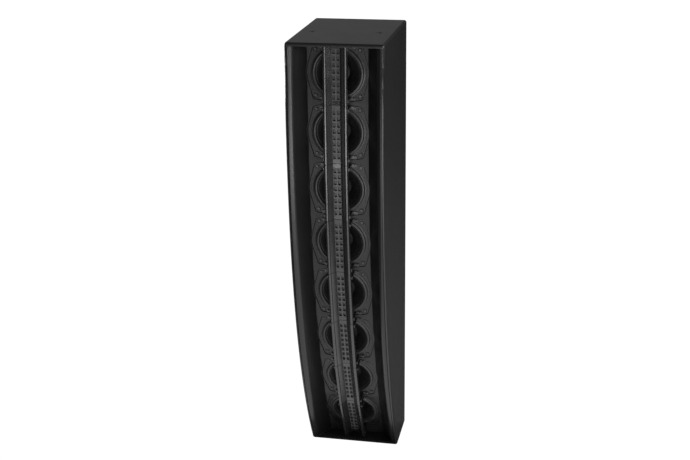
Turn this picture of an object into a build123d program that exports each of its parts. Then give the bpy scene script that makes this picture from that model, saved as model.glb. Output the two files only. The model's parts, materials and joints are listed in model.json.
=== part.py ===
from build123d import *
from math import cos, radians, sin, tan
import os

os.makedirs("parts", exist_ok=True)

# A passive column line array loudspeaker. Millimetres, +Z up, +Y to the back, +X to the right of
# someone who looks at its front. The origin is the middle of the two rigging inserts in the top.

# Cabinet
WIDTH = 275.0
HEIGHT = 1322.0
DEPTH = 392.0
RIG_SETBACK = 168.0  # the rigging line behind the top front edge
PANEL = 10.0  # top, bottom and back
SIDE = 15.0  # side panels
EDGE_RADIUS = 7.0
FRONT = -RIG_SETBACK
BACK = FRONT + DEPTH
BOTTOM = -HEIGHT
INNER = WIDTH / 2 - SIDE  # half the clear width between the side panels
INNER_BACK = BACK - PANEL

# Curved front: a chain of eight equal facets, each tilted further back than the one above
MODULES = 8
PITCH = 167.0
CHAIN_TOP = -5.0  # height of the chain's first joint
TOP_TILT = -1.75  # degrees, the first facet leans very slightly forward
FIRST_SPLAY = 1.7
SPLAY_STEP = 0.8
TOP_TANGENT = -2.2  # degrees, slope of the front edge at its very top
MOUTH_SETBACK = 8.0  # the facets' plane behind the cabinet's front edge

# Grille rebate round the front
REBATE_DEPTH = 1.5
REBATE_LIP = 6.0  # width of the proud lip on each side panel

# Baffle and flares, depths measured behind the facets' plane
BAFFLE_DEPTH = 44.0
BAFFLE_THICK = 18.0
BAFFLE_HALF = 85.0  # half the visible width
FLARE_CORNER = 119.5
FLARE_RADIUS = 16.0
FLARE_RELIEF = 88.5  # clearance round each woofer's flange
LAP_GAP = 1.4  # groove between the lip and the flare
LAP_THICK = 5.0  # flare's edge where it laps the side panel
LAP_ROUND = 1.0

# Woofer, heights measured outwards from the surround's seat
SEAT_DEPTH = 47.0
FLANGE_PROUD = 1.0
FLANGE_BACK = 5.0
FLANGE_RADIUS = 86.0
FLANGE_HALF_HEIGHT = 77.4
FLANGE_GAP = 1.1
FLANGE_BORDER = 4.5  # raised edge round the flange's sunk field
FIELD_SINK = 0.7
RIM_OUTER = 79.5  # raised rim outside the surround
RIM_PROUD = 2.6
EAR_PAD = 7.0
EAR_X = 61.5
EAR_Y = 64.0
EAR_RADIUS = 9.5
FRAME_BORE = 72.0
LEDGE_RADIUS = 76.5
BASKET_RADIUS = 73.8
CUTOUT_RADIUS = 75.0
BASKET_NECK = 49.0
BASKET_STRAIGHT = 14.0
BASKET_FLOOR = 42.0
BASKET_WALL = 3.0
SPIDER_SEAT = 34.0
CONE_RADIUS = 61.7
CONE_RIM = -0.6
CONE_THICK = 1.6
CAP_RADIUS = 29.5
CAP_JOINT = -22.5
CAP_CROWN = -14.5
CAP_THICK = 1.3
COIL_INNER = 19.4
COIL_OUTER = 20.2
COIL_BOTTOM = 54.0
ROLL_CENTRE = 67.4
ROLL_RADIUS = 5.0
ROLL_THICK = 1.2
LIP_THICK = 0.8
PLATE_RADIUS = 46.0
PLATE_TOP = 45.0
PLATE_THICK = 6.0
GAP_OUTER = 20.7
POLE_RADIUS = 18.9
MAGNET_RADIUS = 49.0
MAGNET_BORE = 26.0
MAGNET_THICK = 17.0
WOOFER_SCREW_X = 62.0
WOOFER_SCREW_Y = 63.5

# High-frequency module, depths measured behind the facets' plane
MODULE_GAP = 1.4
FIN_CENTRE = 28.5
FIN_RADIUS = 5.25
THROAT_HALF = 11.5
THROAT_DEPTH = 18.5
THROAT_EDGE = 1.5
WALL_END = 14.0
HOUSING_HALF = 25.5
HOUSING_DEPTH = 32.0
POCKET_HALF = 22.0
POCKET_LENGTH = 143.0
SLOT_PITCH = 17.8
SLOT_LENGTH = 13.2
SLOT_WIDTH = 7.6
SLOT_COLUMNS = 12.0
SLOT_RADIUS = 1.5
FOOT_X = 46.0
FOOT_Y = 70.5
FOOT_THICK = 2.5
FOOT_LENGTH = 8.0
FOOT_WIDTH = 18.0

# Fixings
RIG_SPACING = 190.0
INSERT_BORE = 5.0
INSERT_BODY = 7.0
INSERT_FLANGE = 10.0
INSERT_FLANGE_THICK = 1.6
INSERT_LENGTH = 14.0
SINK = 0.5  # inserts sit just under the painted surface
BRACKET_X = 180.0
BRACKET_Z = 80.0
BRACKET_TOP = -150.0  # centre height of the upper bracket pattern
BRACKET_LOW = -1190.0  # height of the lower pair
SIDE_FIXINGS = [(5.0, -46.0), (107.0, -46.0), (152.0, -1227.0)]  # (y, z) on each side panel
BLANK_HEAD = 5.0
BLANK_HEAD_THICK = 1.6
BLANK_SHANK = 3.0
BLANK_CLEARANCE = 0.2
BLANK_SINK = 0.2  # heads sit this far under the surface

# Rear connector plate
PLATE_Z = -1000.0
PLATE_X_SIZE = 150.0
PLATE_Z_SIZE = 90.0
PLATE_SHEET = 3.0
PLATE_CORNER = 5.7
PLATE_GAP = 0.3
PLATE_LEDGE = 14.0  # back panel left behind the plate's edge
PLATE_SCREW_INSET = 7.0
SOCKET_SPACING = 60.0
SOCKET_RADIUS = 13.5
SOCKET_MOUTH = 11.5
SOCKET_PIN = 6.5
SOCKET_LENGTH = 28.0
SOCKET_BEZEL = 17.0

# Crossover board
BOARD_Z = -700.0
BOARD_X_SIZE = 190.0
BOARD_Z_SIZE = 130.0
BOARD_THICK = 1.6
STANDOFF = 12.0

# Cables
LOOM_X = -95.0
LOOM_Y = 160.0
LOOM_RADIUS = 4.0
LEAD_RADIUS = 1.8


def outward(angle):
    """Unit vector out of a front surface that leans back by this many degrees."""
    return Vector(0, -cos(radians(angle)), -sin(radians(angle)))


def down(angle):
    """Unit vector down along the same surface."""
    return Vector(0, sin(radians(angle)), -cos(radians(angle)))


tilts = [TOP_TILT + FIRST_SPLAY * k + SPLAY_STEP * k * (k - 1) / 2 for k in range(MODULES)]
joints = [Vector(0, FRONT + MOUTH_SETBACK, CHAIN_TOP)]
tangents = [TOP_TANGENT]
for facet_tilt in tilts:
    joints.append(joints[-1] + down(facet_tilt) * PITCH)
    tangents.append(2 * facet_tilt - tangents[-1])


def slide_to(point, angle, z):
    """The point at height z on the line through point along down(angle)."""
    return point + down(angle) * ((point.Z - z) / cos(radians(angle)))


def side_view(point):
    """A point of the YZ plane as sketch coordinates."""
    return (point.Y, point.Z)


def facet_plane(k, depth):
    """Plane parallel to facet k, this far behind it: X across, Y up the facet, Z outwards."""
    middle = (joints[k] + joints[k + 1]) * 0.5
    return Plane(middle - outward(tilts[k]) * depth, x_dir=(1, 0, 0), z_dir=outward(tilts[k]))


def radial_plane(plane):
    """Plane through the given plane's normal: X across, Y along that normal."""
    return Plane(plane.origin, x_dir=plane.x_dir, z_dir=-plane.y_dir)


def end_plane(k, gap):
    """Mitre plane at joint k, facing up the chain, moved down by gap."""
    if k == 0:
        return Plane((0, 0, -PANEL - gap), z_dir=(0, 0, 1))
    if k == MODULES:
        return Plane(joints[k] + down(tilts[-1]) * gap, z_dir=-down(tilts[-1]))
    middle = (tilts[k - 1] + tilts[k]) / 2
    return Plane(joints[k] + down(middle) * gap, z_dir=-down(middle))


def front_points(setback, top, bottom):
    """Ends and joints of the curved front edge, moved back by setback."""
    points = [j + outward(t) * (MOUTH_SETBACK - setback) for j, t in zip(joints, tangents)]
    first = slide_to(points[0], tangents[0], top)
    last = slide_to(points[-1], tangents[-1], bottom)
    return first, points, last


def draw_front(setback, top, bottom):
    """The curved front edge, drawn from top to bottom as tangent arcs."""
    first, points, last = front_points(setback, top, bottom)
    Line(side_view(first), side_view(points[0]))
    for start, end, tangent in zip(points, points[1:], tangents):
        TangentArc(side_view(start), side_view(end), tangent=side_view(down(tangent)))
    Line(side_view(points[-1]), side_view(last))
    return side_view(first), side_view(last)


def facet_chain(depth):
    """Side-view corners of the faceted surface at this depth, from the top panel to the bottom."""
    corners = []
    for k in range(1, MODULES):
        bisector = (tilts[k - 1] + tilts[k]) / 2
        splay = tilts[k] - tilts[k - 1]
        corners.append(joints[k] - outward(bisector) * (depth / cos(radians(splay / 2))))
    first = slide_to(corners[0], tilts[0], -PANEL)
    last = slide_to(corners[-1], tilts[-1], BOTTOM + PANEL)
    return [side_view(point) for point in [first] + corners + [last]]


def side_view_slab(points, half_width, mode=Mode.ADD):
    """Extrude a side-view polygon both ways across the width."""
    with BuildSketch(Plane.YZ) as outline:
        with BuildLine():
            Polyline(*points, close=True)
        make_face()
    extrude(outline.sketch, amount=half_width, both=True, mode=mode)


def cut_front(depth):
    """Cut the front back by depth between the lips, from the top panel to the bottom panel."""
    front_gap = 40.0
    with BuildSketch(Plane.YZ) as band:
        with BuildLine():
            top, bottom = draw_front(depth, -PANEL, BOTTOM + PANEL)
            Polyline(bottom, (FRONT - front_gap, bottom[1]), (FRONT - front_gap, top[1]), top)
        make_face()
    extrude(band.sketch, amount=WIDTH / 2 - REBATE_LIP, both=True, mode=Mode.SUBTRACT)


def finish(builder, name):
    """Label a finished piece and write it."""
    builder.part.label = name
    export_step(builder.part, f"parts/{name}.step")


# ---------------------------------------------------------------- cabinet


def side_panel(name, side):
    outer_plane = Plane.YZ.offset(side * WIDTH / 2)
    with BuildPart() as panel:
        with BuildSketch(outer_plane):
            with BuildLine():
                top, bottom = draw_front(0, 0, BOTTOM)
                Polyline(bottom, (BACK, BOTTOM), (BACK, 0), top)
            make_face()
        extrude(amount=-side * SIDE)
        across = panel.edges().filter_by(Axis.X)
        corners = across.group_by(Axis.Z)[0] + across.group_by(Axis.Z)[-1]
        outside = panel.faces().filter_by(Axis.X).sort_by(Axis.X)[-1 if side > 0 else 0]
        fillet(outside.edges() + corners, EDGE_RADIUS)
        cut_front(REBATE_DEPTH + LAP_THICK)
        head_bore = BLANK_HEAD + BLANK_CLEARANCE
        with Locations(*[outer_plane * Location((y, z)) for y, z in SIDE_FIXINGS]):
            CounterBoreHole(BLANK_SHANK, head_bore, BLANK_HEAD_THICK + BLANK_SINK, SIDE)
    finish(panel, name)


side_panel("cabinet_side_left", -1)
side_panel("cabinet_side_right", 1)

top_front, _, bottom_front = front_points(0, 0, BOTTOM)

with BuildPart() as cabinet_top:
    lower_front = slide_to(top_front, TOP_TANGENT, -PANEL)
    side_view_slab(
        [side_view(top_front), (BACK, 0), (BACK, -PANEL), side_view(lower_front)], INNER
    )
    upper_edges = cabinet_top.faces().sort_by(Axis.Z)[-1].edges().filter_by(Axis.X)
    fillet(upper_edges, EDGE_RADIUS)
    with BuildSketch(Plane.XY):
        with GridLocations(RIG_SPACING, 1, 2, 1):
            Circle(INSERT_FLANGE)
    extrude(amount=-INSERT_FLANGE_THICK - SINK, mode=Mode.SUBTRACT)
    with BuildSketch(Plane.XY):
        with GridLocations(RIG_SPACING, 1, 2, 1):
            Circle(INSERT_BODY)
    extrude(amount=-PANEL, mode=Mode.SUBTRACT)
finish(cabinet_top, "cabinet_top")

with BuildPart() as cabinet_bottom:
    upper_front = slide_to(bottom_front, tangents[-1], BOTTOM + PANEL)
    side_view_slab(
        [side_view(upper_front), (BACK, BOTTOM + PANEL), (BACK, BOTTOM), side_view(bottom_front)],
        INNER,
    )
    lower_edges = cabinet_bottom.faces().sort_by(Axis.Z)[0].edges().filter_by(Axis.X)
    fillet(lower_edges, EDGE_RADIUS)
finish(cabinet_bottom, "cabinet_bottom")

rear_inserts = [(x * BRACKET_X / 2, BRACKET_TOP + z * BRACKET_Z / 2) for x in (-1, 1) for z in (-1, 1)]
rear_inserts += [(x * BRACKET_X / 2, BRACKET_LOW) for x in (-1, 1)]
rear_plane = Plane((0, BACK, 0), x_dir=(1, 0, 0), z_dir=(0, -1, 0))  # sketch (x, z), extrude inwards

PLATE_SCREW_X = PLATE_X_SIZE / 2 - PLATE_SCREW_INSET
PLATE_SCREW_Z = PLATE_Z_SIZE / 2 - PLATE_SCREW_INSET

plate_pocket = (PLATE_X_SIZE + 2 * PLATE_GAP, PLATE_Z_SIZE + 2 * PLATE_GAP)
with BuildPart() as cabinet_back:
    with BuildSketch(rear_plane):
        with Locations((0, BOTTOM / 2)):
            Rectangle(2 * INNER, HEIGHT - 2 * PANEL)
    extrude(amount=PANEL)
    with BuildSketch(rear_plane):
        with Locations(*rear_inserts):
            Circle(INSERT_FLANGE)
        with Locations((0, PLATE_Z)):
            RectangleRounded(*plate_pocket, PLATE_CORNER + PLATE_GAP)
    extrude(amount=INSERT_FLANGE_THICK + SINK, mode=Mode.SUBTRACT)
    with BuildSketch(rear_plane):
        with Locations((0, PLATE_Z)):
            RectangleRounded(*plate_pocket, PLATE_CORNER + PLATE_GAP)
    extrude(amount=PLATE_SHEET, mode=Mode.SUBTRACT)
    with BuildSketch(rear_plane):
        with Locations(*rear_inserts):
            Circle(INSERT_BODY)
        with Locations((0, PLATE_Z)):
            RectangleRounded(PLATE_X_SIZE - 2 * PLATE_LEDGE, PLATE_Z_SIZE - 2 * PLATE_LEDGE, 4)
            with GridLocations(2 * PLATE_SCREW_X, 2 * PLATE_SCREW_Z, 2, 2):
                Circle(1.6)
    extrude(amount=PANEL, mode=Mode.SUBTRACT)
finish(cabinet_back, "cabinet_back")


def flange_outline(margin):
    """Woofer flange: a flat-topped disc with four screw ears, grown by margin."""
    with BuildSketch(mode=Mode.PRIVATE) as disc:
        Circle(FLANGE_RADIUS + margin)
        Rectangle(2 * FLANGE_RADIUS + 4, 2 * (FLANGE_HALF_HEIGHT + margin), mode=Mode.INTERSECT)
    add(disc.sketch)
    with GridLocations(2 * EAR_X, 2 * EAR_Y, 2, 2):
        Circle(EAR_RADIUS + margin)
    make_hull()


baffle_front = facet_chain(BAFFLE_DEPTH)
baffle_rear = facet_chain(BAFFLE_DEPTH + BAFFLE_THICK)

with BuildPart() as faceted_baffle:
    side_view_slab(baffle_front + baffle_rear[::-1], INNER)
    for k in range(MODULES):
        with BuildSketch(facet_plane(k, BAFFLE_DEPTH)):
            flange_outline(FLANGE_GAP)
        extrude(amount=BAFFLE_DEPTH - SEAT_DEPTH - FLANGE_BACK, mode=Mode.SUBTRACT)
        with BuildSketch(facet_plane(k, BAFFLE_DEPTH)):
            Circle(CUTOUT_RADIUS)
            with GridLocations(2 * WOOFER_SCREW_X, 2 * WOOFER_SCREW_Y, 2, 2):
                Circle(2.0)
        extrude(amount=-BAFFLE_THICK - 3, mode=Mode.SUBTRACT)
finish(faceted_baffle, "faceted_baffle")


def flare(name, side):
    """Solid wedge from the rebated front edge to the baffle, with a rounded front corner."""
    over_top = 10.0
    under_bottom = 60.0
    overrun = 80.0
    back_depth = BAFFLE_DEPTH + MOUTH_SETBACK - REBATE_DEPTH
    spare = 12.0
    slope = (FLARE_CORNER - BAFFLE_HALF) / back_depth
    start, _, _ = front_points(REBATE_DEPTH, over_top, BOTTOM)
    section_plane = Plane(start, x_dir=(1, 0, 0), z_dir=down(TOP_TANGENT))
    with BuildPart() as wedge:
        with BuildLine(Plane.YZ) as path:
            draw_front(REBATE_DEPTH, over_top, BOTTOM - under_bottom)
        with BuildSketch(section_plane):
            with BuildLine():
                lap_edge = side * (WIDTH / 2 - REBATE_LIP - LAP_GAP)
                corner = (side * FLARE_CORNER, 0)
                deep = (side * (BAFFLE_HALF - slope * spare), -back_depth - spare)
                inner = side * INNER
                FilletPolyline(
                    (lap_edge, -LAP_THICK),
                    (lap_edge, 0),
                    corner,
                    deep,
                    radius=(LAP_ROUND, FLARE_RADIUS),
                )
                Polyline(
                    deep, (inner, -back_depth - spare), (inner, -LAP_THICK), (lap_edge, -LAP_THICK)
                )
            make_face()
        sweep(path=path.line)
        rear_of_baffle = [(BACK, baffle_front[-1][1] - overrun), (BACK, 0)]
        first, last = baffle_front[0], baffle_front[-1]
        overrun_top = (first[0] - (over_top + PANEL) * tan(radians(tilts[0])), over_top)
        overrun_bottom = (last[0] + overrun * tan(radians(tilts[-1])), last[1] - overrun)
        side_view_slab(
            [overrun_top] + baffle_front[1:-1] + [overrun_bottom] + rear_of_baffle,
            WIDTH,
            mode=Mode.SUBTRACT,
        )
        split(bisect_by=Plane((0, 0, -PANEL)), keep=Keep.BOTTOM)
        split(bisect_by=Plane((0, 0, BOTTOM + PANEL)), keep=Keep.TOP)
        for k in range(MODULES):
            with BuildSketch(facet_plane(k, BAFFLE_DEPTH)):
                Circle(FLARE_RELIEF)
            extrude(amount=BAFFLE_DEPTH, mode=Mode.SUBTRACT)
    finish(wedge, name)


flare("horn_flare_left", -1)
flare("horn_flare_right", 1)

BRACE_JOINTS = (2, 4, 6)
BRACE_THICK = 12.0
BRACE_WINDOW = 100.0
with BuildPart() as cabinet_braces:
    for k in BRACE_JOINTS:
        angle = (tilts[k - 1] + tilts[k]) / 2
        front_mid = joints[k] - outward(angle) * (BAFFLE_DEPTH + BAFFLE_THICK + 2)
        reach = (INNER_BACK - front_mid.Y) / cos(radians(angle))
        board = Plane(
            front_mid - outward(angle) * (reach / 2), x_dir=(1, 0, 0), z_dir=-down(angle)
        )
        with BuildSketch(board.offset(-BRACE_THICK / 2)):
            Rectangle(2 * INNER, reach - 6)
            Rectangle(2 * BRACE_WINDOW, reach - 60, mode=Mode.SUBTRACT)
        extrude(amount=BRACE_THICK)
finish(cabinet_braces, "cabinet_braces")

WADDING_THICK = 24.0
with BuildPart() as damping_wadding:
    for top, bottom in ((-30.0, -300.0), (-370.0, -570.0), (-1080.0, -1150.0)):
        with BuildSketch(Plane((0, INNER_BACK, 0), x_dir=(1, 0, 0), z_dir=(0, -1, 0))):
            with Locations((0, (top + bottom) / 2)):
                RectangleRounded(144, top - bottom, 8)
        extrude(amount=WADDING_THICK)
finish(damping_wadding, "damping_wadding")


# ---------------------------------------------------------------- woofers


def seat_plane(k):
    """Plane of woofer k's surround seat, facing outwards."""
    return facet_plane(k, SEAT_DEPTH)


def ring(plane, outer, inner, thickness):
    """Flat ring, from the plane outwards."""
    with BuildSketch(plane) as annulus:
        Circle(outer)
        Circle(inner, mode=Mode.SUBTRACT)
    extrude(annulus.sketch, amount=thickness)


def woofer_frame(k):
    seat = seat_plane(k)
    arm_width = 13.0
    floor = -BASKET_FLOOR
    straight_bore = FRAME_BORE - 0.6
    with BuildPart() as frame:
        with BuildSketch(seat.offset(-FLANGE_BACK)):
            flange_outline(0)
        extrude(amount=FLANGE_BACK + FLANGE_PROUD)
        outline = frame.faces().filter_by(lambda f: f.normal_at().dot(seat.z_dir) > 0.999)
        fillet(outline.edges(), 0.8)
        with BuildSketch(seat.offset(FLANGE_PROUD)) as field:
            flange_outline(-FLANGE_BORDER)
            Circle(RIM_OUTER, mode=Mode.SUBTRACT)
            with GridLocations(2 * WOOFER_SCREW_X, 2 * WOOFER_SCREW_Y, 2, 2):
                Circle(EAR_PAD, mode=Mode.SUBTRACT)
            with GridLocations(2 * FOOT_X - 8, 2 * FOOT_Y, 2, 2):
                Rectangle(FOOT_WIDTH + 1, FOOT_LENGTH + 1, mode=Mode.SUBTRACT)
        extrude(field.sketch, amount=-FIELD_SINK, mode=Mode.SUBTRACT)
        with BuildSketch(seat.offset(FLANGE_PROUD)) as rim:
            Circle(RIM_OUTER)
            Circle(LEDGE_RADIUS, mode=Mode.SUBTRACT)
            Rectangle(4 * RIM_OUTER, 2 * FLANGE_HALF_HEIGHT - 2, mode=Mode.INTERSECT)
            with GridLocations(2 * FOOT_X - 8, 2 * FOOT_Y, 2, 2):
                Rectangle(FOOT_WIDTH + 1, FOOT_LENGTH + 1, mode=Mode.SUBTRACT)
        extrude(rim.sketch, amount=RIM_PROUD - FLANGE_PROUD)
        with BuildSketch(seat.offset(-FLANGE_BACK)):
            Circle(FRAME_BORE)
        extrude(amount=2 * FLANGE_BACK, mode=Mode.SUBTRACT)
        with BuildSketch(seat):
            Circle(LEDGE_RADIUS)
        extrude(amount=FLANGE_BACK, mode=Mode.SUBTRACT)
        with BuildSketch(radial_plane(seat)):
            with BuildLine():
                Polyline(
                    (BASKET_RADIUS, -FLANGE_BACK + 1),
                    (BASKET_RADIUS, -BASKET_STRAIGHT),
                    (BASKET_NECK + BASKET_WALL, floor),
                    (BASKET_NECK, floor - BASKET_WALL),
                    (GAP_OUTER + 9, floor - BASKET_WALL),
                    (GAP_OUTER + 9, floor),
                    (BASKET_NECK, floor),
                    (straight_bore, -BASKET_STRAIGHT),
                    (straight_bore, -FLANGE_BACK + 1),
                    close=True,
                )
            make_face()
        revolve(axis=Axis(seat.origin, seat.z_dir))
        ring(seat.offset(-SPIDER_SEAT - 2), BASKET_NECK + 6, 46.0, 2)
        with BuildSketch(seat.offset(floor + 2)):
            Circle(BASKET_RADIUS + 4)
            Circle(BASKET_NECK + 2.4, mode=Mode.SUBTRACT)
            with PolarLocations(0, 3):
                Rectangle(4 * BASKET_RADIUS, arm_width, mode=Mode.SUBTRACT)
        extrude(amount=BASKET_FLOOR - BASKET_STRAIGHT - 6, mode=Mode.SUBTRACT)
        with BuildSketch(seat.offset(FLANGE_PROUD)):
            with GridLocations(2 * WOOFER_SCREW_X, 2 * WOOFER_SCREW_Y, 2, 2):
                Circle(5.6)
        extrude(amount=-1.6, mode=Mode.SUBTRACT)
        with BuildSketch(seat.offset(FLANGE_PROUD)):
            with GridLocations(2 * WOOFER_SCREW_X, 2 * WOOFER_SCREW_Y, 2, 2):
                Circle(2.6)
            with GridLocations(2 * FOOT_X, 2 * FOOT_Y, 2, 2):
                Circle(1.5)
        extrude(amount=-2 * FLANGE_BACK, mode=Mode.SUBTRACT)
    finish(frame, f"woofer_frame_{k + 1}")


def woofer_cone(k):
    """Cone, dust cap, former and voice coil: everything that moves in one woofer."""
    seat = seat_plane(k)
    with BuildPart() as cone:
        with BuildSketch(radial_plane(seat)):
            with BuildLine():
                rim = (CONE_RADIUS, CONE_RIM)
                rim_back = (CONE_RADIUS, CONE_RIM - CONE_THICK)
                joint = (CAP_RADIUS, CAP_JOINT)
                cap_inside = (CAP_RADIUS - 1.9, CAP_JOINT - 0.9)
                neck = (CAP_RADIUS - 0.9, CAP_JOINT - 1.9)
                Spline(rim, (46, -9.5), joint)
                TangentArc((0, CAP_CROWN), joint, tangent=(1, 0))
                Line((0, CAP_CROWN), (0, CAP_CROWN - CAP_THICK))
                TangentArc((0, CAP_CROWN - CAP_THICK), cap_inside, tangent=(1, 0))
                Polyline(
                    cap_inside,
                    (COIL_INNER, -31.5),
                    (COIL_INNER, -COIL_BOTTOM),
                    (COIL_OUTER, -COIL_BOTTOM),
                    (COIL_OUTER, -33.2),
                    neck,
                )
                Spline(neck, (45.4, -9.5 - CONE_THICK), rim_back)
                Line(rim_back, rim)
            make_face()
        revolve(axis=Axis(seat.origin, seat.z_dir))
    finish(cone, f"woofer_cone_{k + 1}")


def woofer_surround(k):
    """Half-roll surround with an outer lip that lies on the frame's ledge."""
    seat = seat_plane(k)
    inner = ROLL_RADIUS - ROLL_THICK / 2
    outer = ROLL_RADIUS + ROLL_THICK / 2
    with BuildPart() as surround:
        with BuildSketch(radial_plane(seat)):
            with BuildLine():
                ThreePointArc(
                    (ROLL_CENTRE - outer, 0), (ROLL_CENTRE, outer), (ROLL_CENTRE + outer, 0)
                )
                ThreePointArc(
                    (ROLL_CENTRE - inner, 0), (ROLL_CENTRE, inner), (ROLL_CENTRE + inner, 0)
                )
                Line((ROLL_CENTRE - outer, 0), (ROLL_CENTRE - inner, 0))
                Line((ROLL_CENTRE + inner, 0), (ROLL_CENTRE + outer, 0))
            make_face()
            with BuildLine():
                Polyline(
                    (ROLL_CENTRE + inner, 0),
                    (LEDGE_RADIUS - 0.3, 0),
                    (LEDGE_RADIUS - 0.3, LIP_THICK),
                    (ROLL_CENTRE + inner, LIP_THICK),
                    close=True,
                )
            make_face()
        revolve(axis=Axis(seat.origin, seat.z_dir))
    finish(surround, f"woofer_surround_{k + 1}")


for k in range(MODULES):
    woofer_frame(k)
    woofer_cone(k)
    woofer_surround(k)

with BuildPart() as woofer_front_plates:
    for k in range(MODULES):
        ring(seat_plane(k).offset(-PLATE_TOP - PLATE_THICK), PLATE_RADIUS, GAP_OUTER, PLATE_THICK)
finish(woofer_front_plates, "woofer_front_plates")

magnet_back = PLATE_TOP + PLATE_THICK + MAGNET_THICK
with BuildPart() as woofer_magnets:
    for k in range(MODULES):
        ring(seat_plane(k).offset(-magnet_back), MAGNET_RADIUS, MAGNET_BORE, MAGNET_THICK)
finish(woofer_magnets, "woofer_magnets")

VENT_RADIUS = 6.0
with BuildPart() as woofer_yokes:
    for k in range(MODULES):
        ring(seat_plane(k).offset(-magnet_back - PLATE_THICK), PLATE_RADIUS, VENT_RADIUS, PLATE_THICK)
        ring(seat_plane(k).offset(-magnet_back), POLE_RADIUS, VENT_RADIUS, magnet_back - PLATE_TOP)
finish(woofer_yokes, "woofer_yokes")

SPIDER_INNER = COIL_OUTER + 0.4
SPIDER_OUTER = 51.0
SPIDER_THICK = 0.8
SPIDER_WAVES = 8
SPIDER_FIRST = 24.0
SPIDER_LAST = 45.0


def draw_spider_waves(height):
    """Corrugations of the spider as arcs that bulge up and down in turn."""
    step = (SPIDER_LAST - SPIDER_FIRST) / SPIDER_WAVES
    for n in range(SPIDER_WAVES):
        start = SPIDER_FIRST + n * step
        bulge = 0.9 if n % 2 == 0 else -0.9
        ThreePointArc((start, height), (start + step / 2, height + bulge), (start + step, height))


with BuildPart() as woofer_spiders:
    for k in range(MODULES):
        seat = seat_plane(k)
        low, high = -SPIDER_SEAT, -SPIDER_SEAT + SPIDER_THICK
        with BuildSketch(radial_plane(seat)):
            with BuildLine():
                draw_spider_waves(low)
                draw_spider_waves(high)
                Polyline(
                    (SPIDER_FIRST, low), (SPIDER_INNER, low), (SPIDER_INNER, high), (SPIDER_FIRST, high)
                )
                Polyline(
                    (SPIDER_LAST, low), (SPIDER_OUTER, low), (SPIDER_OUTER, high), (SPIDER_LAST, high)
                )
            make_face()
        revolve(axis=Axis(seat.origin, seat.z_dir))
finish(woofer_spiders, "woofer_spiders")


def screws(planes, spots, head, head_thick, shank, length, drive):
    """Socket screws at the spots of each plane, heads standing on it."""
    for plane in planes:
        with BuildSketch(plane) as shanks:
            with Locations(*spots):
                Circle(shank)
        extrude(shanks.sketch, amount=-length)
        with BuildSketch(plane) as heads:
            with Locations(*spots):
                Circle(head)
        extrude(heads.sketch, amount=head_thick, taper=18)
        with BuildSketch(plane.offset(head_thick)) as sockets:
            with Locations(*spots):
                RegularPolygon(drive, 6)
        extrude(sockets.sketch, amount=-head_thick * 0.7, mode=Mode.SUBTRACT)


def four_corners(x, y):
    return [(-x, -y), (-x, y), (x, -y), (x, y)]


with BuildPart() as woofer_screws:
    screws(
        [seat_plane(k).offset(FLANGE_PROUD - 1.6) for k in range(MODULES)],
        four_corners(WOOFER_SCREW_X, WOOFER_SCREW_Y),
        head=4.6,
        head_thick=2.6,
        shank=2.0,
        length=16.0,
        drive=1.9,
    )
finish(woofer_screws, "woofer_screws")


# ---------------------------------------------------------------- high-frequency modules


def waveguide(k):
    """Moulded module: two rounded fins, a V-shaped mouth, a rear pocket and four feet."""
    mouth = facet_plane(k, 0)
    section = Plane(mouth.origin, x_dir=(1, 0, 0), z_dir=mouth.y_dir)  # sketch (x, depth)
    fin_inner = FIN_CENTRE - FIN_RADIUS
    fin_outer = FIN_CENTRE + FIN_RADIUS
    foot_top = SEAT_DEPTH - FLANGE_PROUD - FOOT_THICK
    with BuildPart() as body:
        with BuildSketch(section):
            for side in (-1, 1):
                with BuildLine():
                    ThreePointArc(
                        (side * fin_inner, FIN_RADIUS),
                        (side * FIN_CENTRE, 0),
                        (side * fin_outer, FIN_RADIUS),
                    )
                    Polyline(
                        (side * fin_outer, FIN_RADIUS),
                        (side * fin_outer, WALL_END),
                        (side * HOUSING_HALF, HOUSING_DEPTH),
                        (side * POCKET_HALF, HOUSING_DEPTH),
                        (side * POCKET_HALF, THROAT_DEPTH),
                        (side * THROAT_HALF, THROAT_DEPTH),
                        (side * THROAT_HALF, THROAT_DEPTH - THROAT_EDGE),
                        (side * fin_inner, FIN_RADIUS),
                    )
                make_face()
        extrude(amount=PITCH / 2 + 5, both=True)
        for end in (-1, 1):
            with BuildSketch(section.offset(end * POCKET_LENGTH / 2)):
                with Locations((0, (THROAT_DEPTH + HOUSING_DEPTH) / 2)):
                    Rectangle(2 * POCKET_HALF + 1, HOUSING_DEPTH - THROAT_DEPTH)
            extrude(amount=end * (PITCH - POCKET_LENGTH) / 2 + end * 5)
        with BuildSketch(mouth.offset(-foot_top)):
            with GridLocations(2 * FOOT_X - 8, 2 * FOOT_Y, 2, 2):
                RectangleRounded(FOOT_WIDTH, FOOT_LENGTH, 1.5)
        extrude(amount=-FOOT_THICK)
        with BuildSketch(mouth.offset(-foot_top)):
            with GridLocations(2 * FIN_CENTRE + 11, 2 * FOOT_Y, 2, 2):
                Rectangle(6, FOOT_LENGTH - 1)
        extrude(amount=foot_top - FIN_RADIUS - 3)
        with BuildSketch(mouth.offset(-foot_top)):
            with GridLocations(2 * FOOT_X, 2 * FOOT_Y, 2, 2):
                Circle(1.8)
        extrude(amount=-FOOT_THICK, mode=Mode.SUBTRACT)
        split(bisect_by=end_plane(k, MODULE_GAP / 2), keep=Keep.BOTTOM)
        split(bisect_by=end_plane(k + 1, -MODULE_GAP / 2), keep=Keep.TOP)
    finish(body, f"waveguide_{k + 1}")


for k in range(MODULES):
    waveguide(k)

TWEETER_HALF = POCKET_HALF - 0.3
TWEETER_LENGTH = POCKET_LENGTH - 0.6
TWEETER_SHEET = 2.0
MEMBRANE_DEPTH = THROAT_DEPTH + 5.6
MEMBRANE_THICK = 0.4
SEAT_HALF = 19.5
CAVITY_HALF = 15.0
ACTIVE_LENGTH = 140.0

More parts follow.
